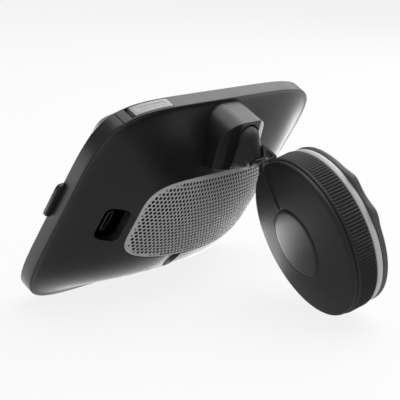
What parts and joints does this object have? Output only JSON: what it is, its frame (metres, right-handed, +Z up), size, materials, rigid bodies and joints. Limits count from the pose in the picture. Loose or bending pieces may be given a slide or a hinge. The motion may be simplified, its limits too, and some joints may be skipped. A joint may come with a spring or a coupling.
{
  "type": "portable gps navigator",
  "caption": "Handheld car navigator with touch screen, rear speaker grille and folding suction mount with a twisting arm and lock ring.",
  "frame": {"origin": "middle of the footprint on the table", "axes": "+X along the case's long side towards the port and side key, +Y from the screen towards the mount, +Z up"},
  "size_m": [0.1238, 0.1104, 0.0742],
  "materials": {
    "frame_plastic": "satin dark grey moulding",
    "case_plastic": "satin dark grey moulding",
    "grille_grey": "matt light grey",
    "dust_cloth": "fine black cloth",
    "screen_glass": "polished, backed in black",
    "display_module": "plain",
    "sheet_steel": "plain bright steel",
    "circuit_board": "green lacquer",
    "ribbon_amber": "amber film",
    "black_plastic": "black moulding",
    "ceramic_patch": "fired ceramic with a metal patch",
    "battery_foil": "dull foil pouch",
    "black_foam": "soft foam",
    "button_silver": "silver paint",
    "mount_plastic": "satin dark grey moulding",
    "cap_plastic": "satin, bare",
    "cup_white": "pale soft plastic",
    "lip_grey": "grey soft plastic"
  },
  "bodies": {
    "navigator": {"front_frame": "frame_plastic", "rear_cover": "case_plastic", "speaker_grille": "grille_grey", "grille_cloth": "dust_cloth", "touch_glass": "screen_glass", "lcd_panel": "display_module", "lcd_tray": "sheet_steel", "tray_screws": "sheet_steel", "main_board": "circuit_board", "board_screws": "sheet_steel", "display_ribbon": "ribbon_amber", "main_chip": "black_plastic", "shield_can": "sheet_steel", "gps_antenna": "ceramic_patch", "battery_pack": "battery_foil", "speaker_box": "black_plastic", "speaker_frame": "sheet_steel", "speaker_cone": "black_plastic", "speaker_magnet": "sheet_steel", "speaker_gasket": "black_foam", "port_cup": "case_plastic", "usb_socket": "sheet_steel", "usb_tongue": "black_plastic", "power_switch": "sheet_steel", "side_switch": "sheet_steel", "socket_housing": "case_plastic", "socket_screws": "sheet_steel"},
    "hinge_barrel": {"hinge_barrel": "mount_plastic"},
    "mount": {"swivel_screw": "sheet_steel", "mount_arm": "mount_plastic", "face_plate": "mount_plastic", "centre_cap": "cap_plastic", "base_drum": "black_plastic", "mount_screws": "sheet_steel", "suction_cup": "cup_white", "cup_lip": "lip_grey"},
    "lock_ring": {"lock_ring": "mount_plastic"},
    "cup_stem": {"cup_stem": "sheet_steel", "lift_pin": "sheet_steel"},
    "power_button": {"power_button": "button_silver"},
    "side_key": {"side_key": "frame_plastic"}
  },
  "joints": [
    {"name": "arm_fold", "type": "hinge", "parent": "navigator", "child": "hinge_barrel", "pos_m": [-0.00235, -0.00323, 0.05766], "axis": [1, 0, 0], "range_deg": [-10, 42]},
    {"name": "arm_twist", "type": "hinge", "parent": "hinge_barrel", "child": "mount", "pos_m": [-0.00235, -0.00323, 0.05766], "axis": [0, -0.6447, 0.7644], "range_deg": [-120, 25]},
    {"name": "lock_ring_turn", "type": "hinge", "parent": "mount", "child": "lock_ring", "pos_m": [-0.00269, 0.02313, 0.02671], "axis": [-0.859, 0.3914, 0.3301], "range_deg": [0, 75]},
    {"name": "stem_pull", "type": "slide", "parent": "mount", "child": "cup_stem", "axis": [0.859, -0.3914, -0.3301], "range_m": [0, 0.0024]},
    {"name": "power_button_press", "type": "slide", "parent": "navigator", "child": "power_button", "axis": [0, -0.5054, -0.8629], "range_m": [0, 0.0005], "stiffness_N_per_m": 2500},
    {"name": "side_key_press", "type": "slide", "parent": "navigator", "child": "side_key", "axis": [-1, 0, 0], "range_m": [0, 0.0005], "stiffness_N_per_m": 2500}
  ],
  "couplings": [
    {"joint": "lock_ring_turn", "follows": "stem_pull", "rad_per_m": 545.4}
  ]
}
